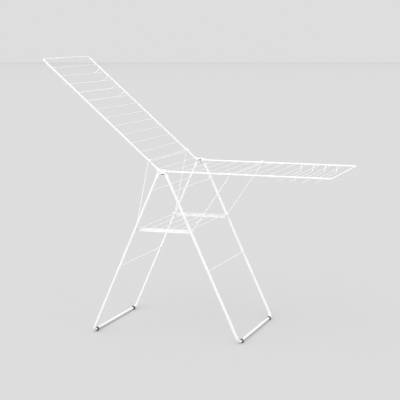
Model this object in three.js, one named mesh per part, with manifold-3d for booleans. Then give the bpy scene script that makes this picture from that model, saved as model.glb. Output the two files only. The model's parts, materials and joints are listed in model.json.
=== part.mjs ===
// Winged clothes drying rack: two hinged leg frames, a shelf, two wings and their struts.
// Millimetres, +Z up. X runs along the wings and Y across them. "Front" is -Y, "rear" is +Y,
// "right" is +X and "left" is -X. The pieces are drawn about the middle of the leg frames, and
// the last lines move the whole rack so that the origin is on the floor under its overall box.
import * as THREE from 'three';
import { mergeVertices } from 'three/addons/utils/BufferGeometryUtils.js';
import Module from 'manifold-3d';

const wasm = await Module();
wasm.setup();

// ---- driving dimensions ----
const GAP = 0.3;                        // clearance between touching pieces
const LEG_Y = 285;                      // leg tube centre line to the middle of the legs
const HINGE_Z = 859;                    // height of the four hinge pins
const HINGE_X = 15;                     // hinge pins to the middle of the legs
const FOOT_X = 400;                     // bottom bar centre line to the middle of the legs
const LEG_R = 7;                        // leg tube radius
const LEG_BEND = 27;                    // bend radius of the leg frame's bottom corners
const BAR_Z = 9.8;                      // bottom bar centre height
const LEG_START = 13;                   // tube end below the hinge pin
const WING_LENGTH = 853;                // hinge pin to the end bar's centre line
const WING_Y = 273;                     // wing rail centre line to the middle of the legs
const RAIL_R = 4.5;                     // wing rail radius
const RAIL_BEND = 16;                   // bend radius of the wing frame's outer corners
const RAIL_START = 12;                  // rail end to the hinge pin
const LEFT_RAISE = THREE.MathUtils.degToRad(41.2);
const RIGHT_RAISE = THREE.MathUtils.degToRad(-0.6);     // the level wing sags a little
const WIRE_R = 1.7;
const WIRE_COUNT = 13;
const FIRST_WIRE = 0.0204 * WING_LENGTH; // hinge pin to the first wing wire
const WIRE_PITCH = 0.0751 * WING_LENGTH;
const DROP_FIRST = 8;                   // index of the wing wire beside the first dropped wire
const DROP_COUNT = 4;
const DROP_DEPTH = 33;                  // dropped wires below the wing's plane
const DROP_SLOPE = 30;                  // their sloping ends, measured across the wing
const DROP_END_GAP = 1.6;               // sloping end's centre line to the rail's side
const ROD_R = 2.5;                      // leg cross rods
const ROD_HEIGHTS = { upper: 760, lower: 362 };
const SHELF_Z = 558;                    // height of the shelf's pivot studs
const ARM_Y = 262;                      // inner face of a shelf arm
const ARM_THICKNESS = 6;
const ARM_TOP = 6.5;                    // a shelf arm's edges above and below its pivot stud
const ARM_BOTTOM = 11.5;
const SHELF_WIRE_R = 2;
const SHELF_WIRE_COUNT = 6;
const SHELF_WIRE_COVER = 1;             // a shelf arm's top edge above its wires
const SHELF_WIRE_FIRST = 16;            // end wires stand this far in from the studs
const STUD_R = 3;
const STRUT_R = 2.5;
const STRUT_Y = 275;                    // strut side wires to the middle of the legs
const STRUT_BEND = 8;
const STRUT_LENGTH = 354;               // pivot to crossbar centre
const BORE_R = STUD_R + GAP;
const FOOT_Y = 243;                     // middle of a foot sleeve
const FOOT_LENGTH = 15;
const TUBE_SIDES = 12;
const WIRE_SIDES = 8;
const PIN_SIDES = 16;
const CURVE_SEGMENTS = 8;
const BEND_STEPS = 5;
const MERGE_TOLERANCE = 1e-4;

const legTilt = Math.atan((FOOT_X - HINGE_X) / (HINGE_Z - BAR_Z));
const group = new THREE.Group();

// ---- materials ----
const whiteSteel = new THREE.MeshStandardMaterial({ color: 0xf2f2f0, roughness: 0.42, metalness: 0.1 });
const whitePlastic = new THREE.MeshStandardMaterial({ color: 0xf0f0ee, roughness: 0.5, metalness: 0 });
const greyRubber = new THREE.MeshStandardMaterial({ color: 0x2e2f31, roughness: 0.75, metalness: 0 });

// ---- helpers ----
function add(name, geometry, material) {
  const mesh = new THREE.Mesh(geometry, material);
  mesh.name = name;
  group.add(mesh);
  return mesh;
}

// Points along a bent tube: straight runs between corners, each corner an arc of `radius`.
function bentRun(corners, radius) {
  const points = [corners[0].clone()];
  for (let i = 1; i < corners.length - 1; i += 1) {
    const corner = corners[i];
    const back = corners[i - 1].clone().sub(corner).normalize();
    const ahead = corners[i + 1].clone().sub(corner).normalize();
    const half = back.angleTo(ahead) / 2;
    const middle = back.clone().add(ahead).normalize().multiplyScalar(radius / Math.sin(half));
    const centre = corner.clone().add(middle);
    const start = corner.clone().addScaledVector(back, radius / Math.tan(half)).sub(centre);
    const end = corner.clone().addScaledVector(ahead, radius / Math.tan(half)).sub(centre);
    const sweep = start.angleTo(end);
    for (let k = 0; k <= BEND_STEPS; k += 1) {
      const t = k / BEND_STEPS;
      const point = start.clone().multiplyScalar(Math.sin((1 - t) * sweep) / Math.sin(sweep));
      points.push(point.addScaledVector(end, Math.sin(t * sweep) / Math.sin(sweep)).add(centre));
    }
  }
  points.push(corners[corners.length - 1].clone());
  return points;
}

// A path whose equal steps are the given stations, so a long straight run takes one step.
class StationPath extends THREE.Curve {
  constructor(stations) {
    super();
    this.stations = stations;
  }

  getTangentAt(u) {
    const spans = this.stations.length - 1;
    const i = Math.round(u * spans);
    const before = this.stations[Math.max(i - 1, 0)];
    const here = this.stations[i];
    const after = this.stations[Math.min(i + 1, spans)];
    const tangent = new THREE.Vector3();
    if (i > 0) tangent.add(here.clone().sub(before).normalize());
    if (i < spans) tangent.add(after.clone().sub(here).normalize());
    return tangent.normalize();
  }

  getSpacedPoints() {
    return this.stations.map((p) => p.clone());
  }
}

// A round tube or wire carried along stations.
function tube(stations, radius, sides) {
  const outline = new THREE.Shape();
  for (let i = 0; i < sides; i += 1) {
    const angle = ((i + 0.5) / sides) * 2 * Math.PI;
    const x = radius * Math.cos(angle);
    const y = radius * Math.sin(angle);
    if (i === 0) outline.moveTo(x, y);
    else outline.lineTo(x, y);
  }
  outline.closePath();
  return new THREE.ExtrudeGeometry(outline, {
    steps: stations.length - 1,
    extrudePath: new StationPath(stations),
  });
}

// A straight wire across the rack at (x, z), reaching `reach` either side of the middle.
function crossWire(x, z, reach, radius, sides) {
  const geometry = new THREE.CylinderGeometry(radius, radius, 2 * reach, sides);
  geometry.translate(x, 0, z);
  return geometry;
}

// A flat plate drawn in the X-Z plane and given its thickness from y0 to y1.
function plateXZ(shape, y0, y1) {
  const geometry = new THREE.ExtrudeGeometry(shape, {
    depth: y1 - y0,
    bevelEnabled: false,
    curveSegments: CURVE_SEGMENTS,
  });
  geometry.rotateX(Math.PI / 2);
  geometry.translate(0, y1, 0);
  return geometry;
}

function circleHole(x, z, radius) {
  const hole = new THREE.Path();
  hole.absarc(x, z, radius, 0, 2 * Math.PI, true);
  return hole;
}

// A strap with round ends from (x0, z0) to (x1, z1).
function strapShape(x0, z0, x1, z1, radius) {
  const along = Math.atan2(z1 - z0, x1 - x0);
  const shape = new THREE.Shape();
  shape.absarc(x0, z0, radius, along + Math.PI / 2, along + 1.5 * Math.PI, false);
  shape.absarc(x1, z1, radius, along - Math.PI / 2, along + Math.PI / 2, false);
  shape.closePath();
  return shape;
}

// A pin along Y at (x, z), from y0 to y1.
function pin(x, z, radius, y0, y1) {
  const geometry = new THREE.CylinderGeometry(radius, radius, y1 - y0, PIN_SIDES);
  geometry.translate(x, (y0 + y1) / 2, z);
  return geometry;
}

function toSolid(geometry) {
  const bare = geometry.clone();
  bare.deleteAttribute('normal');
  bare.deleteAttribute('uv');
  const merged = mergeVertices(bare, MERGE_TOLERANCE);
  return new wasm.Manifold(new wasm.Mesh({
    numProp: 3,
    vertProperties: new Float32Array(merged.attributes.position.array),
    triVerts: new Uint32Array(merged.index.array),
  }));
}

function join(...geometries) {
  let solid = toSolid(geometries[0]);
  for (const geometry of geometries.slice(1)) solid = solid.add(toSolid(geometry));
  const mesh = solid.getMesh();
  const geometry = new THREE.BufferGeometry();
  geometry.setAttribute('position', new THREE.BufferAttribute(new Float32Array(mesh.vertProperties), 3));
  geometry.setIndex(new THREE.BufferAttribute(new Uint32Array(mesh.triVerts), 1));
  geometry.computeVertexNormals();
  return geometry;
}

// Both sides of the rack: the same plate at +Y and at -Y.
function bothSides(makeGeometry) {
  return [makeGeometry(1), makeGeometry(-1)];
}

function sidePlate(shape, side, inner, outer) {
  return side > 0 ? plateXZ(shape, inner, outer) : plateXZ(shape, -outer, -inner);
}

function sidePin(x, z, radius, side, inner, outer) {
  return side > 0 ? pin(x, z, radius, inner, outer) : pin(x, z, radius, -outer, -inner);
}

// ---- places on the legs ----
function legX(z) {
  return HINGE_X + (HINGE_Z - z) * Math.tan(legTilt);
}

const studX = legX(SHELF_Z);

// ---- leg frames: one bent tube each, flattened eyes at the top, studs for shelf and strut ----
const LEG_EYE = { inner: 283.4, outer: 288.2, radius: 6.5, length: 34 };
const STUD = { inner: 258, head: 261.5, outer: 280, headRadius: 5 };

function legFrame(direction) {
  const dx = direction * Math.sin(legTilt);
  const dz = -Math.cos(legTilt);
  const corners = [-1, 1].map((side) => [
    new THREE.Vector3(direction * HINGE_X + dx * LEG_START, side * LEG_Y, HINGE_Z + dz * LEG_START),
    new THREE.Vector3(direction * FOOT_X, side * LEG_Y, BAR_Z),
  ]);
  const path = bentRun([corners[0][0], corners[0][1], corners[1][1], corners[1][0]], LEG_BEND);
  const eye = strapShape(
    direction * HINGE_X, HINGE_Z,
    direction * HINGE_X + dx * LEG_EYE.length, HINGE_Z + dz * LEG_EYE.length,
    LEG_EYE.radius,
  );
  eye.holes.push(circleHole(direction * HINGE_X, HINGE_Z, BORE_R));
  const eyes = bothSides((side) => sidePlate(eye, side, LEG_EYE.inner, LEG_EYE.outer));
  const x = direction * studX;
  const studs = bothSides((side) => sidePin(x, SHELF_Z, STUD_R, side, STUD.inner, STUD.outer));
  const heads = bothSides((side) => sidePin(x, SHELF_Z, STUD.headRadius, side, STUD.inner, STUD.head));
  return join(tube(path, LEG_R, TUBE_SIDES), ...eyes, ...studs, ...heads);
}

add('right_leg_frame', legFrame(1), whiteSteel);
add('left_leg_frame', legFrame(-1), whiteSteel);

for (const [side, direction] of [['right', 1], ['left', -1]]) {
  for (const [level, z] of Object.entries(ROD_HEIGHTS)) {
    const rod = crossWire(direction * legX(z), z, LEG_Y - LEG_R - GAP, ROD_R, WIRE_SIDES);
    add(`${side}_leg_${level}_rod`, rod, whiteSteel);
  }
}

// ---- feet: sleeves with a flat sole, gripping the bottom bar beside its bends ----
const FOOT = { halfBase: 8, shoulder: 9.8, crown: 9.6 };

function footSleeve() {
  const shape = new THREE.Shape();
  shape.moveTo(-FOOT.halfBase, -BAR_Z);
  shape.lineTo(FOOT.halfBase, -BAR_Z);
  shape.lineTo(FOOT.shoulder, -BAR_Z / 2);
  shape.lineTo(FOOT.shoulder, 0);
  shape.absarc(0, 0, FOOT.crown, 0, Math.PI, false);
  shape.lineTo(-FOOT.shoulder, 0);
  shape.lineTo(-FOOT.shoulder, -BAR_Z / 2);
  shape.closePath();
  shape.holes.push(circleHole(0, 0, LEG_R + GAP));
  return plateXZ(shape, -FOOT_LENGTH / 2, FOOT_LENGTH / 2);
}

for (const [side, direction] of [['right', 1], ['left', -1]]) {
  for (const [end, ySign] of [['front', -1], ['rear', 1]]) {
    const foot = add(`${side}_${end}_foot`, footSleeve(), greyRubber);
    foot.position.set(direction * FOOT_X, ySign * FOOT_Y, BAR_Z);
  }
}

// ---- hinge blocks: a moulded plate between leg eyes and wing eyes, with four spigots ----
const PLATE = { inner: 278, outer: 283, radius: 11 };
const SPIGOT = { inner: 268.6, head: 270.8, outer: 291.6, headRadius: 5 };
const CAP = { inner: 288.6, outer: 293, radius: 10.2 };

for (const [end, side] of [['front', -1], ['rear', 1]]) {
  const plate = sidePlate(strapShape(-HINGE_X, HINGE_Z, HINGE_X, HINGE_Z, PLATE.radius), side,
    PLATE.inner, PLATE.outer);
  const spigots = [-1, 1].flatMap((d) => [
    sidePin(d * HINGE_X, HINGE_Z, STUD_R, side, SPIGOT.inner, SPIGOT.outer),
    sidePin(d * HINGE_X, HINGE_Z, SPIGOT.headRadius, side, SPIGOT.inner, SPIGOT.head),
  ]);
  add(`${end}_hinge_block`, join(plate, ...spigots), whitePlastic);
  const capShape = strapShape(-HINGE_X, HINGE_Z, HINGE_X, HINGE_Z, CAP.radius);
  for (const d of [-1, 1]) capShape.holes.push(circleHole(d * HINGE_X, HINGE_Z, BORE_R));
  add(`${end}_hinge_cap`, sidePlate(capShape, side, CAP.inner, CAP.outer), whitePlastic);
}

// ---- wings: drawn flat along +X from the hinge pin, then turned into place ----
const WING_EYE = { inner: 271.2, outer: 277.4, radius: 6.5, length: 30 };

function wingFrame() {
  const path = bentRun([
    new THREE.Vector3(RAIL_START, -WING_Y, 0),
    new THREE.Vector3(WING_LENGTH, -WING_Y, 0),
    new THREE.Vector3(WING_LENGTH, WING_Y, 0),
    new THREE.Vector3(RAIL_START, WING_Y, 0),
  ], RAIL_BEND);
  const eye = strapShape(0, 0, WING_EYE.length, 0, WING_EYE.radius);
  eye.holes.push(circleHole(0, 0, BORE_R));
  const eyes = bothSides((side) => sidePlate(eye, side, WING_EYE.inner, WING_EYE.outer));
  return join(tube(path, RAIL_R, TUBE_SIDES), ...eyes);
}

// A dropped wire: down and inward from each rail, then straight across below the wing.
function droppedWire(x) {
  const end = WING_Y - RAIL_R - DROP_END_GAP;
  const shoulder = end - DROP_SLOPE;
  const stations = bentRun([
    new THREE.Vector3(x, -end, 0),
    new THREE.Vector3(x, -shoulder, -DROP_DEPTH),
    new THREE.Vector3(x, shoulder, -DROP_DEPTH),
    new THREE.Vector3(x, end, 0),
  ], RAIL_BEND);
  return tube(stations, WIRE_R, WIRE_SIDES);
}

function buildWing(side, direction, raise) {
  const place = (name, geometry) => {
    if (direction < 0) geometry.rotateZ(Math.PI);
    geometry.rotateY(-direction * raise);
    geometry.translate(direction * HINGE_X, 0, HINGE_Z);
    add(name, geometry, whiteSteel);
  };
  place(`${side}_wing_frame`, wingFrame());
  for (let k = 0; k < WIRE_COUNT; k += 1) {
    const number = String(k + 1).padStart(2, '0');
    const x = FIRST_WIRE + k * WIRE_PITCH;
    place(`${side}_wing_wire_${number}`, crossWire(x, 0, WING_Y - RAIL_R - GAP, WIRE_R, WIRE_SIDES));
  }
  for (let k = 0; k < DROP_COUNT; k += 1) {
    const x = FIRST_WIRE + (DROP_FIRST + k + 0.5) * WIRE_PITCH;
    place(`${side}_wing_dropped_wire_${k + 1}`, droppedWire(x));
  }
}

buildWing('right', 1, RIGHT_RAISE);
buildWing('left', -1, LEFT_RAISE);

// ---- struts: U-shaped wires from the legs' studs up to a crossbar under the wing rails ----
const STRUT_EYE = { radius: 6, wireStart: 5 };

// Where a crossbar meets the underside of a wing raised by `raise`, seen on the +X side.
function crossbarPlace(raise) {
  const clearance = RAIL_R + STRUT_R + GAP;
  const u = new THREE.Vector2(Math.cos(raise), Math.sin(raise));
  const from = new THREE.Vector2(
    HINGE_X + clearance * Math.sin(raise) - studX,
    HINGE_Z - clearance * Math.cos(raise) - SHELF_Z,
  );
  const b = from.dot(u);
  const along = -b + Math.sqrt(b * b - from.lengthSq() + STRUT_LENGTH ** 2);
  return from.addScaledVector(u, along).add(new THREE.Vector2(studX, SHELF_Z));
}

function strut(direction, raise) {
  const bar = crossbarPlace(raise);
  const foot = new THREE.Vector2(studX, SHELF_Z);
  const rise = bar.clone().sub(foot).normalize();
  const start = foot.clone().addScaledVector(rise, STRUT_EYE.wireStart);
  const path = bentRun([
    new THREE.Vector3(direction * start.x, -STRUT_Y, start.y),
    new THREE.Vector3(direction * bar.x, -STRUT_Y, bar.y),
    new THREE.Vector3(direction * bar.x, STRUT_Y, bar.y),
    new THREE.Vector3(direction * start.x, STRUT_Y, start.y),
  ], STRUT_BEND);
  const ring = new THREE.Shape();
  ring.absarc(direction * foot.x, foot.y, STRUT_EYE.radius, 0, 2 * Math.PI, false);
  ring.holes.push(circleHole(direction * foot.x, foot.y, BORE_R));
  const rings = bothSides((side) => sidePlate(ring, side, STRUT_Y - STRUT_R, STRUT_Y + STRUT_R));
  return join(tube(path, STRUT_R, WIRE_SIDES), ...rings);
}

add('right_strut', strut(1, RIGHT_RAISE), whiteSteel);
add('left_strut', strut(-1, LEFT_RAISE), whiteSteel);

// ---- shelf: two side arms that pivot on the right leg and rest on the left leg's studs ----
const ARM = { overhang: 10, notchInner: 24, bevel: 3 };

function shelfArm(side) {
  const right = studX + ARM.overhang;
  const left = -studX - ARM.overhang;
  const top = SHELF_Z + ARM_TOP;
  const bottom = SHELF_Z - ARM_BOTTOM;
  const notchTop = SHELF_Z + BORE_R;
  const shape = new THREE.Shape();
  shape.moveTo(left, bottom + ARM.bevel);
  shape.lineTo(-studX - BORE_R, bottom + ARM.bevel);
  shape.lineTo(-studX - BORE_R, notchTop);
  shape.lineTo(-studX + ARM.notchInner, notchTop);
  shape.lineTo(-studX + ARM.notchInner + ARM.bevel, bottom);
  shape.lineTo(right - ARM.bevel, bottom);
  shape.lineTo(right, bottom + ARM.bevel);
  shape.lineTo(right, top - ARM.bevel);
  shape.lineTo(right - ARM.bevel, top);
  shape.lineTo(left + ARM.bevel, top);
  shape.lineTo(left, top - ARM.bevel);
  shape.closePath();
  shape.holes.push(circleHole(studX, SHELF_Z, BORE_R));
  return sidePlate(shape, side, ARM_Y, ARM_Y + ARM_THICKNESS);
}

add('front_shelf_arm', shelfArm(-1), whitePlastic);
add('rear_shelf_arm', shelfArm(1), whitePlastic);

const shelfWireZ = SHELF_Z + ARM_TOP - SHELF_WIRE_R - SHELF_WIRE_COVER;
const shelfPitch = (2 * (studX - SHELF_WIRE_FIRST)) / (SHELF_WIRE_COUNT - 1);
for (let k = 0; k < SHELF_WIRE_COUNT; k += 1) {
  const x = -studX + SHELF_WIRE_FIRST + k * shelfPitch;
  const wire = crossWire(x, shelfWireZ, ARM_Y - GAP, SHELF_WIRE_R, WIRE_SIDES);
  add(`shelf_wire_${k + 1}`, wire, whiteSteel);
}

const overall = new THREE.Box3().setFromObject(group);
group.position.x = -(overall.min.x + overall.max.x) / 2;

export default group;
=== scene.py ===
"""Clothes drying rack: the finished surfaces of the leg frames, wings, struts, shelf, hinges and feet.

Metres, +Z up. X runs along the wings, Y across the rack. Front is -Y, rear is +Y.
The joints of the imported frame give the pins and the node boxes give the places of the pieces.
"""

import json
import math

import bpy
import numpy as np
from mathutils import Matrix, Vector


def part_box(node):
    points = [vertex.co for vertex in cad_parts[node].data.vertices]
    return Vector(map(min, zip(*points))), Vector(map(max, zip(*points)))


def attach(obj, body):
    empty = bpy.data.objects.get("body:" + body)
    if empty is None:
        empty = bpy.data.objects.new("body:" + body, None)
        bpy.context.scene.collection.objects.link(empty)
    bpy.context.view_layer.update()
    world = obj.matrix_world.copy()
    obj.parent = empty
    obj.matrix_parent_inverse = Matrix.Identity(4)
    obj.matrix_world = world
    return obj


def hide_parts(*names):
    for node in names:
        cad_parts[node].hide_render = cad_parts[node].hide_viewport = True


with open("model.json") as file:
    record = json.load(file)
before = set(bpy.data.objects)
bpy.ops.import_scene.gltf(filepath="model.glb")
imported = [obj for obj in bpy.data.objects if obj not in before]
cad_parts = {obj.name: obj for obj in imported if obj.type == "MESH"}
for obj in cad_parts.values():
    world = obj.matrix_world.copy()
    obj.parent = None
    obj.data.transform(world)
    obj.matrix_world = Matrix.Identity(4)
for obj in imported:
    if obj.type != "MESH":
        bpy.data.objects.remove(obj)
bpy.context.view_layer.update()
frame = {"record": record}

MM = 0.001
TINY = 1e-9
Y_AXIS = np.array([0.0, 1.0, 0.0])
FLATTEN = np.array([1, 0, 1])           # times this, a point moves to the rack's middle plane
SIDES = ("right", "left")
ENDS = (("front", -1), ("rear", 1))

# ---- sections and bends of the tubes and wires, in metres ----
LEG_R = 7.0 * MM
LEG_BEND = 27.0 * MM
LEG_Y = 285.0 * MM
RAIL_R = 4.5 * MM
RAIL_BEND = 16.0 * MM
WING_Y = 273.0 * MM
STRUT_R = 2.5 * MM
STRUT_Y = 275.0 * MM
STRUT_BEND = 8.0 * MM
ROD_R = 2.5 * MM
WIRE_R = 1.7 * MM
SHELF_WIRE_R = 2.0 * MM
TUBE_SEGMENTS = 32
WIRE_SEGMENTS = 16

# ---- places read from the frame ----
joints = {j["name"]: np.array(j["pos_m"]) for j in frame["record"]["behaviour"]["joints"]}
wing_pin = {"right": joints["right_wing_fold"], "left": joints["left_wing_fold"]}
stud = {"right": joints["right_strut_swing"], "left": joints["left_strut_swing"]}
hinge_middle = (wing_pin["right"] + wing_pin["left"]) / 2


def middle(node):
    """The centre of a CAD node's box."""
    low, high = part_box(node)
    return np.array((low + high) / 2)


# ---- camera ----
CAMERA_PLACE = np.array([3.7489, -9.8751, 2.7259])      # in rack widths, from the floor under the hinges
CAMERA_YAW = -0.3476
CAMERA_PITCH = 0.1449
CAMERA_ROLL = -0.0102
CAMERA_LENS = 103.9
CAMERA_SENSOR = 36.0
CAMERA_REACH = 300.0


def make_camera():
    """A long lens to the right of the rack's middle, above the hinges, turned left and a little down."""
    camera = bpy.data.objects.new("camera", bpy.data.cameras.new("camera"))
    bpy.context.scene.collection.objects.link(camera)
    width = 2 * LEG_Y
    ground = np.array([hinge_middle[0], 0.0, 0.0])
    place = ground + width * CAMERA_PLACE
    level = math.cos(CAMERA_PITCH)
    ahead = Vector((math.sin(CAMERA_YAW) * level, math.cos(CAMERA_YAW) * level, -math.sin(CAMERA_PITCH)))
    right = ahead.cross(Vector((0, 0, 1))).normalized()
    up = right.cross(ahead)
    turned_right = math.cos(CAMERA_ROLL) * right + math.sin(CAMERA_ROLL) * up
    turned_up = -math.sin(CAMERA_ROLL) * right + math.cos(CAMERA_ROLL) * up
    turn = Matrix((turned_right, turned_up, -ahead)).transposed().to_4x4()
    camera.matrix_world = Matrix.Translation(Vector(place)) @ turn
    camera.data.sensor_width = CAMERA_SENSOR
    camera.data.lens = CAMERA_LENS
    camera.data.clip_end = CAMERA_REACH
    bpy.context.scene.camera = camera


make_camera()

# ---- materials ----
COLOUR_STOPS = (0.3, 0.7)
PATCH_SCALE = 14.0
GLOSS_SHARE = 0.2                       # scale of the uneven gloss, as a share of the grain's
GLOSS_DETAIL = 4.0
GRAIN_DETAIL = 2.0
GRAIN_ROUGHNESS = 0.6
BUMP_STRENGTH = 0.35
COAT_WEIGHT = 0.15
COAT_ROUGHNESS = 0.3
FINISHES = {
    "powder": {"name": "white_powder_coat", "light": (0.93, 0.93, 0.925), "dark": (0.89, 0.89, 0.885),
               "rough": (0.3, 0.46), "grain_scale": 900.0, "grain_depth": 0.00012},
    "plastic": {"name": "white_moulded_plastic", "light": (0.92, 0.92, 0.915), "dark": (0.88, 0.88, 0.875),
                "rough": (0.4, 0.55), "grain_scale": 1600.0, "grain_depth": 0.00006},
    "rubber": {"name": "dark_foot_rubber", "light": (0.05, 0.052, 0.056), "dark": (0.03, 0.031, 0.034),
               "rough": (0.6, 0.8), "grain_scale": 1400.0, "grain_depth": 0.0001},
    "rivet": {"name": "plated_rivet", "light": (0.86, 0.86, 0.87), "dark": (0.76, 0.76, 0.77),
              "rough": (0.3, 0.45), "grain_scale": 700.0, "grain_depth": 0.00005},
}


def new_material(name):
    """A node material, with its tree and its shader."""
    material = bpy.data.materials.new(name)
    material.use_nodes = True
    tree = material.node_tree
    return material, tree, tree.nodes["Principled BSDF"]


def noise_on_object(tree, scale, detail=3.0, roughness=0.5):
    """A noise texture read from Object coordinates."""
    place = tree.nodes.new("ShaderNodeTexCoord")
    noise = tree.nodes.new("ShaderNodeTexNoise")
    noise.inputs["Scale"].default_value = scale
    noise.inputs["Detail"].default_value = detail
    noise.inputs["Roughness"].default_value = roughness
    tree.links.new(place.outputs["Object"], noise.inputs["Vector"])
    return noise


def ramp(tree, source, colours):
    """A colour ramp between two colours on a noise's value."""
    node = tree.nodes.new("ShaderNodeValToRGB")
    for element, place, colour in zip(node.color_ramp.elements, COLOUR_STOPS, colours):
        element.position = place
        element.color = (*colour, 1.0)
    tree.links.new(source, node.inputs["Fac"])
    return node


def spread(tree, source, low, high):
    """Stretches a 0 to 1 value to low..high."""
    node = tree.nodes.new("ShaderNodeMapRange")
    node.inputs["To Min"].default_value = low
    node.inputs["To Max"].default_value = high
    tree.links.new(source, node.inputs["Value"])
    return node


def coated(name, light, dark, rough, grain_scale, grain_depth):
    """A coloured coat: broad faint patches of colour, uneven gloss and a fine grain."""
    material, tree, shader = new_material(name)
    patches = noise_on_object(tree, PATCH_SCALE)
    colour = ramp(tree, patches.outputs["Fac"], (dark, light))
    tree.links.new(colour.outputs["Color"], shader.inputs["Base Color"])
    gloss = noise_on_object(tree, grain_scale * GLOSS_SHARE, GLOSS_DETAIL)
    rough_map = spread(tree, gloss.outputs["Fac"], *rough)
    tree.links.new(rough_map.outputs["Result"], shader.inputs["Roughness"])
    grain = noise_on_object(tree, grain_scale, GRAIN_DETAIL, GRAIN_ROUGHNESS)
    bump = tree.nodes.new("ShaderNodeBump")
    bump.inputs["Strength"].default_value = BUMP_STRENGTH
    bump.inputs["Distance"].default_value = grain_depth
    tree.links.new(grain.outputs["Fac"], bump.inputs["Height"])
    tree.links.new(bump.outputs["Normal"], shader.inputs["Normal"])
    return material, shader


def make_materials():
    """Powder coat with a thin clear gloss, moulded plastic, rubber and plated rivets."""
    made = {key: coated(**finish) for key, finish in FINISHES.items()}
    powder_shader = made["powder"][1]
    powder_shader.inputs["Coat Weight"].default_value = COAT_WEIGHT
    powder_shader.inputs["Coat Roughness"].default_value = COAT_ROUGHNESS
    rivet_shader = made["rivet"][1]
    rivet_shader.inputs["Metallic"].default_value = 1.0
    return {key: material for key, (material, _) in made.items()}


materials = make_materials()


# ---- surfaces ----
def in_metres(pairs):
    """Pairs of millimetres as pairs of metres."""
    return [(first * MM, second * MM) for first, second in pairs]


def grid_faces(rows, columns, first):
    """Quads of a grid that closes on itself round its columns, with a flat cap on each end."""
    index = first + np.arange(rows * columns).reshape(rows, columns)
    beside = np.roll(index, -1, axis=1)
    quads = np.stack([index[:-1], beside[:-1], beside[1:], index[1:]], axis=-1).reshape(-1, 4)
    return quads.tolist() + [index[0][::-1].tolist(), index[-1].tolist()]


def signed_volume(grid):
    """Six times the volume inside a capped grid, positive if its quads face outwards."""
    centre = grid.mean(axis=(0, 1))
    p = grid - centre
    beside = np.roll(p, -1, axis=1)
    a, b, c, d = p[:-1], beside[:-1], beside[1:], p[1:]
    return np.einsum("ijk,ijk->", a, np.cross(b, c)) + np.einsum("ijk,ijk->", a, np.cross(c, d))


def make_piece(name, grids, material, body, nodes, sharp=40.0):
    """One mesh from one or more closed grids, riding on a body and standing for CAD nodes."""
    points, faces, count = [], [], 0
    for grid in grids:
        if signed_volume(grid) < 0:
            grid = grid[:, ::-1]
        points.append(grid.reshape(-1, 3))
        faces += grid_faces(grid.shape[0], grid.shape[1], count)
        count += grid.shape[0] * grid.shape[1]
    mesh = bpy.data.meshes.new(name)
    mesh.from_pydata(np.concatenate(points).tolist(), [], faces)
    mesh.shade_smooth()
    mesh.set_sharp_from_angle(angle=math.radians(sharp))
    mesh.materials.append(material)
    piece = bpy.data.objects.new(name, mesh)
    bpy.context.scene.collection.objects.link(piece)
    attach(piece, body)
    if nodes:
        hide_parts(*nodes)
    return piece


def unit(vector):
    """The vector at length 1."""
    return vector / np.linalg.norm(vector)


def smooth_step(x):
    """0 below 0, 1 above 1, a smooth S between."""
    x = np.clip(x, 0.0, 1.0)
    return x * x * (3 - 2 * x)


def straight(a, b, shares):
    """Points between a and b at the given shares of the way."""
    return a + np.outer(shares, b - a)


def round_angles(segments):
    """Equal angles round a full turn, without the repeated last one."""
    return np.linspace(0, 2 * np.pi, segments, endpoint=False)


def corner_arc(before, corner, after, radius, steps):
    """The arc of a radius that rounds a corner, as points."""
    back, ahead = unit(before - corner), unit(after - corner)
    half = math.acos(np.clip(back @ ahead, -1, 1)) / 2
    centre = corner + unit(back + ahead) * radius / math.sin(half)
    start = corner + back * radius / math.tan(half) - centre
    end = corner + ahead * radius / math.tan(half) - centre
    sweep = math.acos(np.clip(unit(start) @ unit(end), -1, 1))
    t = np.linspace(0, 1, steps)[:, None]
    return centre + (np.sin((1 - t) * sweep) * start + np.sin(t * sweep) * end) / math.sin(sweep)


def bent_path(corners, radius, end_detail=60.0 * MM, detail_steps=40, bend_steps=18):
    """A run through corners, each rounded, with close stations near its two ends."""
    arcs = [corner_arc(corners[i - 1], corners[i], corners[i + 1], radius, bend_steps)
            for i in range(1, len(corners) - 1)]
    first_leg = np.linalg.norm(arcs[0][0] - corners[0])
    near = np.linspace(0, end_detail / first_leg, detail_steps)
    start = straight(corners[0], arcs[0][0], near)
    finish = straight(corners[-1], arcs[-1][-1], near)[::-1]
    return np.concatenate([start, *arcs, finish])


def carried(path, normal, half_wide, half_thick, shift, power, segments):
    """A section carried along a flat path.

    At each station the section is a superellipse: half_wide lies along the normal of the path's
    plane, half_thick lies in that plane, `shift` moves it in the plane, and power 2 is round.
    """
    tangent = np.gradient(path, axis=0)
    tangent /= np.linalg.norm(tangent, axis=1)[:, None]
    in_plane = np.cross(tangent, normal)
    angle = round_angles(segments)
    c, s = np.cos(angle), np.sin(angle)
    share = 2.0 / np.broadcast_to(power, len(path))[:, None]
    wide = np.broadcast_to(half_wide, len(path))[:, None] * np.sign(c) * np.abs(c) ** share
    thick = np.broadcast_to(half_thick, len(path))[:, None] * np.sign(s) * np.abs(s) ** share
    thick = thick + np.broadcast_to(shift, len(path))[:, None]
    return path[:, None] + wide[..., None] * normal + thick[..., None] * in_plane[:, None]


def distance_from_ends(path):
    """How far each station is, along the path, from the nearer end."""
    run = np.concatenate([[0.0], np.cumsum(np.linalg.norm(np.diff(path, axis=0), axis=1))])
    return np.minimum(run, run[-1] - run)


EYE_POWER = 2.5                         # added to a round section's power where the eye is flat
NOSE_LEAST = 0.004                      # keeps the very end of a nose from closing to a point
NOSE_THICKNESS_RATE = 1.6
NOSE_LEAST_THICKNESS = 0.05
SWELL_PLACE = 0.3                       # where a tube bulges beside its eye, and how widely, as
SWELL_SPREAD = 0.5                      # shares of the run from flat to round


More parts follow.
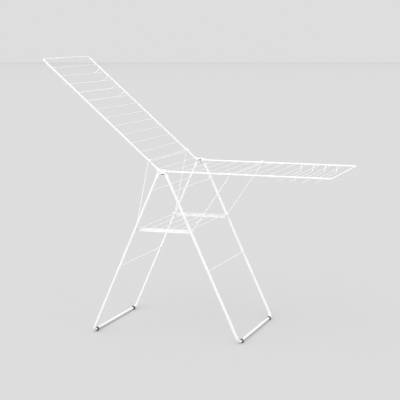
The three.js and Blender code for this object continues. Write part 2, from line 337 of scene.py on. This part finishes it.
def eyed_tube(pin_centre, direction, half_y, corner_reach, radius, bend, eye):
    """A tube bent into a U, with both ends flattened to thin round-nosed eyes about the pins.

    Near each end the section's thickness eases from the flat eye's to the tube's, its width
    follows a half circle round the nose, and its middle shifts sideways onto the eye.
    """
    nose = pin_centre - direction * eye["radius"]
    far = pin_centre + direction * corner_reach
    aside = Y_AXIS * half_y
    path = bent_path([nose - aside, far - aside, far + aside, nose + aside], bend)
    d = distance_from_ends(path)
    round_off = smooth_step((d - eye["flat"]) / eye["blend"])
    nose_share = np.sqrt(np.clip(1 - (1 - np.minimum(d / eye["radius"], 1.0)) ** 2, NOSE_LEAST, 1))
    from_swell = (d - eye["flat"] - SWELL_PLACE * eye["blend"]) / (SWELL_SPREAD * eye["blend"])
    swell = eye["swell"] * np.exp(-from_swell ** 2)
    wide = (eye["radius"] + (radius - eye["radius"]) * round_off + swell) * nose_share
    thick = eye["half_thick"] + (radius - eye["half_thick"]) * round_off
    thick = thick * np.clip(nose_share * NOSE_THICKNESS_RATE, NOSE_LEAST_THICKNESS, 1)
    shift = eye["shift"] * (1 - round_off)
    power = 2 + EYE_POWER * (1 - round_off)
    normal = unit(np.cross(direction, Y_AXIS))
    return carried(path, normal, wide, thick, shift, power, TUBE_SEGMENTS)


WELD = 1.1 * MM                         # a weld's swelling of a wire's radius at its end
WELD_SPREAD = 1.6 * MM
WELD_RUN = 6 * MM                       # close stations reach this far from a wire's end
WELD_STATIONS = 9
SKEW = [0.31, 0.17, 0.93]               # a direction that no wire has


def wire_between(a, b, radius, weld=WELD, segments=WIRE_SEGMENTS):
    """A straight round wire whose radius swells in a small weld fillet at each end."""
    length = np.linalg.norm(b - a)
    close = np.linspace(0, WELD_RUN, WELD_STATIONS) / length
    shares = np.concatenate([close, 1 - close[::-1]])
    d = np.minimum(shares, 1 - shares) * length
    r = radius + weld * np.exp(-(d / WELD_SPREAD) ** 2)
    along = unit(b - a)
    side = unit(np.cross(along, SKEW))
    other = np.cross(along, side)
    angle = round_angles(segments)
    ring = np.cos(angle)[:, None] * side + np.sin(angle)[:, None] * other
    return straight(a, b, shares)[:, None] + r[:, None, None] * ring


def cross_wire(node, half_length, radius, **options):
    """A straight wire across the rack through the middle of a CAD node's box."""
    place = middle(node)
    reach = half_length * Y_AXIS
    return wire_between(place - reach, place + reach, radius, **options)


def stadium_rings(centre, half_length, rings, sign, segments=40):
    """A solid across the rack: a stadium outline in X-Z whose radius follows rings of (radius, y).

    With half_length 0 it is a solid of revolution, such as a pin with a domed head.
    """
    angle = np.linspace(-np.pi / 2, 1.5 * np.pi, segments, endpoint=False)
    c, s = np.cos(angle), np.sin(angle)
    offset = np.where(c >= -TINY, half_length, -half_length)
    radius = np.array([r for r, _ in rings])[:, None]
    y = np.array([v for _, v in rings])[:, None] * sign
    x = centre[0] + offset + radius * c
    z = centre[2] + radius * s
    return np.stack([x, np.broadcast_to(y, x.shape), z], axis=-1)


CENTRE_R = 0.05                         # millimetres: the small ring that closes a turned solid


def fillet_rings(radius, y0, y1, round_radius, steps=6):
    """Rings of a disc-like solid from y0 to y1 with both rims rounded."""
    a = np.linspace(0, np.pi / 2, steps)
    low = [(radius - round_radius * (1 - math.sin(t)), y0 + round_radius * (1 - math.cos(t))) for t in a]
    high = [(radius - round_radius * (1 - math.sin(t)), y1 - round_radius * (1 - math.cos(t))) for t in a]
    return [(CENTRE_R * MM, y0)] + low + high[::-1] + [(CENTRE_R * MM, y1)]


LEAST_CORNER = 0.3 * MM


def bar_rings(middle_x, z, half_length, half_height, corner, levels, segments=48):
    """A long bar in X-Z: a rounded rectangle drawn inwards by `inset` at each (inset, y) level."""
    angle = round_angles(segments) + np.pi / segments
    c, s = np.cos(angle), np.sin(angle)
    grids = []
    for inset, y in levels:
        r = max(corner - inset, LEAST_CORNER)
        x = middle_x + np.sign(c) * (half_length - inset - r) + r * c
        high = z + np.sign(s) * (half_height - inset - r) + r * s
        grids.append(np.stack([x, np.full_like(x, y), high], axis=-1))
    return np.array(grids)


# ---- leg frames ----
LEG_EYE = {"radius": 7.0 * MM, "flat": 24.0 * MM, "blend": 24.0 * MM, "half_thick": 2.3 * MM,
           "swell": 1.0 * MM, "shift": 0.8 * MM}
FOOT_CROWN = 9.6 * MM
BAR_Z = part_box("right_front_foot")[1].z - FOOT_CROWN
ROD_SINK = 1.2 * MM                     # a cross rod's end inside the leg tube
ROD_WELD = 1.6 * MM


def leg_line(side):
    """The hinge pin, and the direction and length down the leg to the bottom bar's centre line."""
    top = wing_pin[side]
    bottom = np.array([middle(f"{side}_front_foot")[0], 0.0, BAR_Z])
    return top, unit(bottom - top), np.linalg.norm(bottom - top)


for side in SIDES:
    top, down, reach = leg_line(side)
    body = f"{side}_legs"
    grids = [eyed_tube(top, down, LEG_Y, reach, LEG_R, LEG_BEND, LEG_EYE)]
    make_piece(f"{side}_leg_tube", grids, materials["powder"], body, [f"{side}_leg_frame"])
    for level in ("upper", "lower"):
        node = f"{side}_leg_{level}_rod"
        grid = cross_wire(node, LEG_Y - LEG_R + ROD_SINK, ROD_R, weld=ROD_WELD)
        make_piece(f"{side}_{level}_cross_rod", [grid], materials["powder"], body, [node])

# ---- studs that carry the shelf and the struts ----
STUD_RINGS = in_metres(((CENTRE_R, 257.4), (2.6, 257.5), (4.3, 258.3), (5.0, 259.6), (5.0, 261.2),
                        (4.6, 261.6), (3.0, 261.7), (3.0, 280.0), (CENTRE_R, 280.0)))

for side in SIDES:
    grids = [stadium_rings(stud[side], 0.0, STUD_RINGS, sign) for _, sign in ENDS]
    make_piece(f"{side}_stud_pair", grids, materials["rivet"], f"{side}_legs", [])

# ---- feet ----
FOOT_HALF_WIDTH = 9.8 * MM
SOLE_POWER = 5.0                        # how square the sole's outline is, against 2 for a circle
SOLE_INSET_SHARE = 0.5                  # how much of an inset the sole's depth takes
FOOT_LEVELS = ((3.4, -7.5), (1.4, -7.5), (0.5, -7.1), (0.0, -6.2), (0.0, -3.4), (0.7, -2.9), (0.7, -2.1),
               (0.0, -1.6), (0.0, 1.6), (0.7, 2.1), (0.7, 2.9), (0.0, 3.4), (0.0, 6.2), (0.5, 7.1),
               (1.4, 7.5), (3.4, 7.5))


def foot_grid(centre, segments=48):
    """A sleeve round the bottom bar: a half circle above, a squared outline with a flat sole below.

    Each (inset, y) level in millimetres draws the outline in a little, which rounds the rims
    and cuts two shallow grooves; between them the sole stays on the floor.
    """
    angle = round_angles(segments)
    c, s = np.cos(angle), np.sin(angle)
    share = np.where(s >= 0, 1.0, 2.0 / SOLE_POWER)
    rows = []
    for inset, y in FOOT_LEVELS:
        x = (FOOT_HALF_WIDTH - inset * MM) * np.sign(c) * np.abs(c) ** share
        tall = np.where(s >= 0, FOOT_CROWN - inset * MM, BAR_Z - SOLE_INSET_SHARE * inset * MM)
        z = tall * np.sign(s) * np.abs(s) ** share
        rows.append(np.stack([centre[0] + x, np.full_like(x, centre[1] + y * MM), BAR_Z + z], axis=-1))
    return np.array(rows)


for side in SIDES:
    for end, _ in ENDS:
        node = f"{side}_{end}_foot"
        make_piece(f"{side}_{end}_foot_sleeve", [foot_grid(middle(node))], materials["rubber"],
                   f"{side}_legs", [node], sharp=50.0)

# ---- hinge blocks ----
half_spacing = (wing_pin["right"][0] - wing_pin["left"][0]) / 2
PIN_RINGS = in_metres(((CENTRE_R, 268.0), (2.8, 268.2), (4.4, 268.9), (5.0, 270.0), (5.0, 270.8),
                       (3.0, 270.9), (3.0, 291.5), (CENTRE_R, 291.5)))
RIVET_RINGS = in_metres(((CENTRE_R, 291.0), (4.6, 291.0), (4.6, 292.0), (4.0, 292.6), (2.6, 292.9),
                         (CENTRE_R, 293.0)))
PLATE_RINGS = fillet_rings(11.0 * MM, 277.8 * MM, 283.1 * MM, 1.2 * MM)
BUTTON_RINGS = fillet_rings(4.4 * MM, 276.6 * MM, 278.4 * MM, 0.7 * MM)
CAP_RIM = fillet_rings(10.2 * MM, 288.6 * MM, 292.6 * MM, 1.4 * MM)[:-1]
CAP_DISH = in_metres(((7.8, 292.6), (7.2, 291.8), (0.4, 291.8)))
# Painted shade: the dark stop below stands where the gap between the leg tops, under the hinge block, is
# in shadow.
SHADE_STOP = {"shift": 2.2 * MM, "drop": 11.6 * MM, "half_length": 5.8 * MM, "half_height": 2.8 * MM,
          "corner": 1.6 * MM}
SHADE_STOP_LEVELS = ((1.2, 279.0), (0.4, 279.4), (0.0, 280.2), (0.0, 288.6), (0.4, 289.4), (1.2, 289.8))


def shade_stop_grid(sign):
    """The dark stop between the leg tops, a little to the right of the hinge's middle: painted shade, a
    dark piece where the gap under the hinge block lies in shadow.
    """
    levels = [(inset * MM, sign * y * MM) for inset, y in SHADE_STOP_LEVELS]
    return bar_rings(hinge_middle[0] + SHADE_STOP["shift"], hinge_middle[2] - SHADE_STOP["drop"],
                     SHADE_STOP["half_length"], SHADE_STOP["half_height"], SHADE_STOP["corner"], levels)


for end, sign in ENDS:
    plate = stadium_rings(hinge_middle, half_spacing, PLATE_RINGS, sign)
    cap = stadium_rings(hinge_middle, half_spacing, CAP_RIM + CAP_DISH, sign)
    make_piece(f"{end}_hinge_moulding", [plate, cap], materials["plastic"], "right_legs",
               [f"{end}_hinge_block", f"{end}_hinge_cap"])
    pins = []
    for side in SIDES:
        pins.append(stadium_rings(wing_pin[side], 0.0, PIN_RINGS, sign))
        pins.append(stadium_rings(wing_pin[side], 0.0, RIVET_RINGS, sign))
    make_piece(f"{end}_hinge_rivets", pins, materials["rivet"], "right_legs", [])
    button = stadium_rings(hinge_middle, 0.0, BUTTON_RINGS, sign)
    # The dark stop in this piece is painted shade for the shadowed gap between the leg tops.
    make_piece(f"{end}_hinge_shade_stop", [shade_stop_grid(sign), button], materials["rubber"],
               "right_legs", [])

# ---- wings ----
WING_EYE = {"radius": 6.5 * MM, "flat": 20.0 * MM, "blend": 18.0 * MM, "half_thick": 2.6 * MM,
            "swell": 0.5 * MM, "shift": 1.3 * MM}
WING_WIRE_COUNT = 13
DROP_COUNT = 4
DROP_DEPTH = 33.0 * MM
DROP_SLOPE = 30.0 * MM
DROP_WELD_SPREAD = 1.8 * MM
WIRE_SINK = 1.0 * MM                    # a wire's end inside the rail
SADDLE_R = RAIL_R + 1.4 * MM
SADDLE_HALF_LENGTH = 8.0 * MM
SADDLE_HALF_THICK = 1.3 * MM
SADDLE_POWER = 4.0
SADDLE_ENDS = (-0.12 * np.pi, 1.12 * np.pi)
SADDLE_STATIONS = 30
SADDLE_KNOB = in_metres(((3.6, 1.6), (3.6, 5.4), (3.2, 6.2), (2.2, 6.7), (CENTRE_R, 6.8)))
KNOB_SEGMENTS = 24


def wing_direction(side):
    """From the hinge pin towards the wing's end, through the last wire."""
    return unit(middle(f"{side}_wing_wire_{WING_WIRE_COUNT}") * FLATTEN - wing_pin[side] * FLATTEN)


def wing_up(side):
    """Square to the wing, on its upper side."""
    up = unit(np.cross(wing_direction(side), Y_AXIS))
    return up if up[2] > 0 else -up


def wing_reach(side):
    """From the hinge pin to the end bar's centre line.

    The end bar stands where the frame's box ends, less the rail's own radius.
    """
    low, high = (np.array(v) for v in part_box(f"{side}_wing_frame"))
    outwards = wing_direction(side)
    edge = high[0] if outwards[0] > 0 else low[0]
    return (abs(edge - wing_pin[side][0]) - RAIL_R) / abs(outwards[0])


def crossbar_reach(side):
    """How far along the wing its strut's crossbar lies, from the strut's box."""
    crossbar = np.array(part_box(f"{side}_strut")[1]) - STRUT_R
    return (crossbar - wing_pin[side]) * FLATTEN @ wing_direction(side)


def dropped_grid(side, node):
    """A wire that leaves each rail sloping down and inwards, then runs straight across."""
    outwards = wing_direction(side)
    drop = wing_up(side) * -DROP_DEPTH
    pin = wing_pin[side] * FLATTEN
    base = pin + outwards * ((middle(node) * FLATTEN - pin) @ outwards)
    reach = Y_AXIS * (WING_Y - RAIL_R + WIRE_SINK)
    shoulder = Y_AXIS * (WING_Y - RAIL_R - DROP_SLOPE)
    corners = [base - reach, base - shoulder + drop, base + shoulder + drop, base + reach]
    path = bent_path(corners, RAIL_BEND, end_detail=8.0 * MM, detail_steps=8, bend_steps=12)
    r = WIRE_R + WELD * np.exp(-(distance_from_ends(path) / DROP_WELD_SPREAD) ** 2)
    return carried(path, outwards, r, r, 0.0, 2.0, WIRE_SEGMENTS)


def saddle_grids(side):
    """A clip over each rail where the crossbar bears: a C open below, with a small knob on top.

    The C is a squared section carried round the rail's top and sides; the knob is a turned solid.
    """
    outwards = wing_direction(side)
    up = wing_up(side)
    base = wing_pin[side] * FLATTEN + outwards * crossbar_reach(side)
    turn = np.linspace(*SADDLE_ENDS, SADDLE_STATIONS)
    angle = round_angles(KNOB_SEGMENTS)
    around = np.outer(np.cos(angle), outwards) + np.outer(np.sin(angle), Y_AXIS)
    grids = []
    for _, sign in ENDS:
        rail = base + Y_AXIS * sign * WING_Y
        ring = rail + np.outer(np.cos(turn), Y_AXIS) * SADDLE_R + np.outer(np.sin(turn), up) * SADDLE_R
        grids.append(carried(ring, outwards, SADDLE_HALF_LENGTH, SADDLE_HALF_THICK, 0.0, SADDLE_POWER,
                             WIRE_SEGMENTS))
        grids.append(np.array([rail + up * (RAIL_R + height) + r * around for r, height in SADDLE_KNOB]))
    return grids


for side in SIDES:
    body = f"{side}_wing"
    grids = [eyed_tube(wing_pin[side], wing_direction(side), WING_Y, wing_reach(side), RAIL_R, RAIL_BEND,
                       WING_EYE)]
    make_piece(f"{side}_wing_rail", grids, materials["powder"], body, [f"{side}_wing_frame"])
    for k in range(1, WING_WIRE_COUNT + 1):
        node = f"{side}_wing_wire_{k:02d}"
        make_piece(f"{side}_line_{k:02d}", [cross_wire(node, WING_Y - RAIL_R + WIRE_SINK, WIRE_R)],
                   materials["powder"], body, [node])
    for k in range(1, DROP_COUNT + 1):
        node = f"{side}_wing_dropped_wire_{k}"
        make_piece(f"{side}_small_item_wire_{k}", [dropped_grid(side, node)], materials["powder"],
                   body, [node])
    make_piece(f"{side}_crossbar_saddles", saddle_grids(side), materials["plastic"], body, [])

# ---- struts ----
STRUT_START = 5.6 * MM                  # the straight wire starts this far from the stud's centre
STRUT_EYE_R = 5.7 * MM
STRUT_EYE_WIRE_R = 2.4 * MM
STRUT_EYE_SWEEP = 1.93 * np.pi
STRUT_EYE_STATIONS = 40


def strut_grids(side):
    """A U of wire from the studs to the crossbar, with an eye curled round each stud."""
    high = np.array(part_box(f"{side}_strut")[1])
    bar = np.array([high[0] - STRUT_R, 0.0, high[2] - STRUT_R])
    foot = stud[side] * FLATTEN
    rise = unit(bar - foot)
    start = foot + rise * STRUT_START
    aside = Y_AXIS * STRUT_Y
    path = bent_path([start - aside, bar - aside, bar + aside, start + aside], STRUT_BEND,
                     end_detail=20 * MM, detail_steps=8, bend_steps=14)
    grids = [carried(path, unit(np.cross(rise, Y_AXIS)), STRUT_R, STRUT_R, 0.0, 2.0, WIRE_SEGMENTS)]
    lean = math.atan2(rise[2], rise[0])
    turn = np.linspace(lean, lean + STRUT_EYE_SWEEP, STRUT_EYE_STATIONS)
    for _, sign in ENDS:
        ring = np.stack([foot[0] + STRUT_EYE_R * np.cos(turn), np.full_like(turn, sign * STRUT_Y),
                         foot[2] + STRUT_EYE_R * np.sin(turn)], axis=-1)
        grids.append(carried(ring, Y_AXIS, STRUT_EYE_WIRE_R, STRUT_EYE_WIRE_R, 0.0, 2.0, WIRE_SEGMENTS))
    return grids


for side in SIDES:
    body = f"{side}_strut"
    make_piece(f"{side}_prop", strut_grids(side), materials["powder"], body, [f"{side}_strut"])

# ---- shelf ----
ARM_INNER = 262.0 * MM
ARM_OUTER = 268.0 * MM
ARM_START = 9.0 * MM                    # the bar starts this far inwards of the left stud
ARM_CORNER = 4.0 * MM
ARM_INSIDE = ((2.1, 4.2), (2.0, 4.1), (1.6, 0.3), (1.3, 0.0), (0.5, 0.0), (0.2, 0.2), (0.0, 0.7))
ARM_OUTSIDE = ((0.0, 0.9), (0.3, 0.3), (0.9, 0.0), (2.6, 0.0), (3.2, 0.6), (3.3, 0.6))
HOOK_R = 6.6 * MM
HOOK_HALF_WIDE = 2.9 * MM
HOOK_HALF_THICK = 2.8 * MM
HOOK_POWER = 3.5
HOOK_SWEEP = 1.24 * np.pi
HOOK_STATIONS = 36
SHELF_WIRE_COUNT = 6
SHELF_WIRE_SINK = 4.4 * MM              # a shelf wire's end inside the side arm


def arm_grids(node, sign):
    """A side arm: a channel open inwards, a long shallow panel outside, and a hook over the left stud.

    ARM_INSIDE and ARM_OUTSIDE give the outline's inset and the depth from each face, in millimetres.
    """
    low, high = (np.array(v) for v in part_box(node))
    y_in, y_out = sign * ARM_INNER, sign * ARM_OUTER
    step = sign * MM
    left = stud["left"][0] + ARM_START
    levels = [(inset * MM, y_in + depth * step) for inset, depth in ARM_INSIDE]
    levels += [(inset * MM, y_out - depth * step) for inset, depth in ARM_OUTSIDE]
    bar = bar_rings((left + high[0]) / 2, (low[2] + high[2]) / 2, (high[0] - left) / 2,
                    (high[2] - low[2]) / 2, ARM_CORNER, levels)
    turn = np.linspace(0.0, HOOK_SWEEP, HOOK_STATIONS)
    hook = np.stack([stud["left"][0] + HOOK_R * np.cos(turn), np.full_like(turn, (y_in + y_out) / 2),
                     stud["left"][2] + HOOK_R * np.sin(turn)], axis=-1)
    return [bar, carried(hook, Y_AXIS, HOOK_HALF_WIDE, HOOK_HALF_THICK, 0.0, HOOK_POWER, WIRE_SEGMENTS)]


for end, sign in ENDS:
    node = f"{end}_shelf_arm"
    make_piece(f"{end}_shelf_side", arm_grids(node, sign), materials["plastic"], "shelf", [node])
for k in range(1, SHELF_WIRE_COUNT + 1):
    node = f"shelf_wire_{k}"
    make_piece(f"shelf_line_{k}", [cross_wire(node, ARM_INNER + SHELF_WIRE_SINK, SHELF_WIRE_R)],
               materials["powder"], "shelf", [node])

# ---- studio ----
FLOOR_TONE = 0.57
FLOOR_UNEVENNESS = 0.004
FLOOR_PATCH_SCALE = 2.0
FLOOR_HALF = 60.0
WALL_AWAY = 50.0
WALL_HEIGHT = 8.0
WALL_GLOW = 0.73
ROOM_LIGHT = 0.95
SUN_LIGHT = 1.44
SUN_ANGLE = math.radians(90.0)
SUN_TURN = (math.radians(40.0), math.radians(-22.0), 0.0)
WHITE = (1.0, 1.0, 1.0, 1.0)
BLACK = (0.0, 0.0, 0.0, 1.0)


def flat_sheet(name, corners, material):
    """One four-cornered sheet of the studio."""
    mesh = bpy.data.meshes.new(name)
    mesh.from_pydata(corners, [], [(0, 1, 2, 3)])
    mesh.materials.append(material)
    sheet = bpy.data.objects.new(name, mesh)
    bpy.context.scene.collection.objects.link(sheet)


def make_floor():
    """A wide pale floor, and four low far walls that glow as brightly as the floor looks."""
    paper, tree, shader = new_material("pale_paper")
    grain = noise_on_object(tree, FLOOR_PATCH_SCALE)
    colour = ramp(tree, grain.outputs["Fac"], ((FLOOR_TONE,) * 3, (FLOOR_TONE + FLOOR_UNEVENNESS,) * 3))
    tree.links.new(colour.outputs["Color"], shader.inputs["Base Color"])
    shader.inputs["Roughness"].default_value = 1.0
    shader.inputs["Specular IOR Level"].default_value = 0.0
    half = FLOOR_HALF
    flat_sheet("floor", [(-half, -half, 0), (half, -half, 0), (half, half, 0), (-half, half, 0)], paper)
    glow, tree, shader = new_material("far_wall_glow")
    shader.inputs["Base Color"].default_value = BLACK
    shader.inputs["Specular IOR Level"].default_value = 0.0
    shader.inputs["Emission Color"].default_value = WHITE
    shader.inputs["Emission Strength"].default_value = WALL_GLOW
    far, tall = WALL_AWAY, WALL_HEIGHT
    for k in range(4):
        turn = Matrix.Rotation(k * math.pi / 2, 3, "Z")
        corners = [(-far, far, 0), (far, far, 0), (far, far, tall), (-far, far, tall)]
        flat_sheet(f"far_wall_{k + 1}", [tuple(turn @ Vector(c)) for c in corners], glow)


def make_light():
    """An even bright room, and a very broad soft sun from above, to the front and left."""
    world = bpy.data.worlds.new("studio")
    world.use_nodes = True
    background = world.node_tree.nodes["Background"]
    background.inputs["Color"].default_value = WHITE
    background.inputs["Strength"].default_value = ROOM_LIGHT
    bpy.context.scene.world = world
    sun = bpy.data.lights.new("soft_sun", "SUN")
    sun.energy = SUN_LIGHT
    sun.angle = SUN_ANGLE
    lamp = bpy.data.objects.new("soft_sun", sun)
    bpy.context.scene.collection.objects.link(lamp)
    lamp.rotation_euler = SUN_TURN


make_floor()
make_light()
bpy.context.scene.view_settings.view_transform = "Standard"
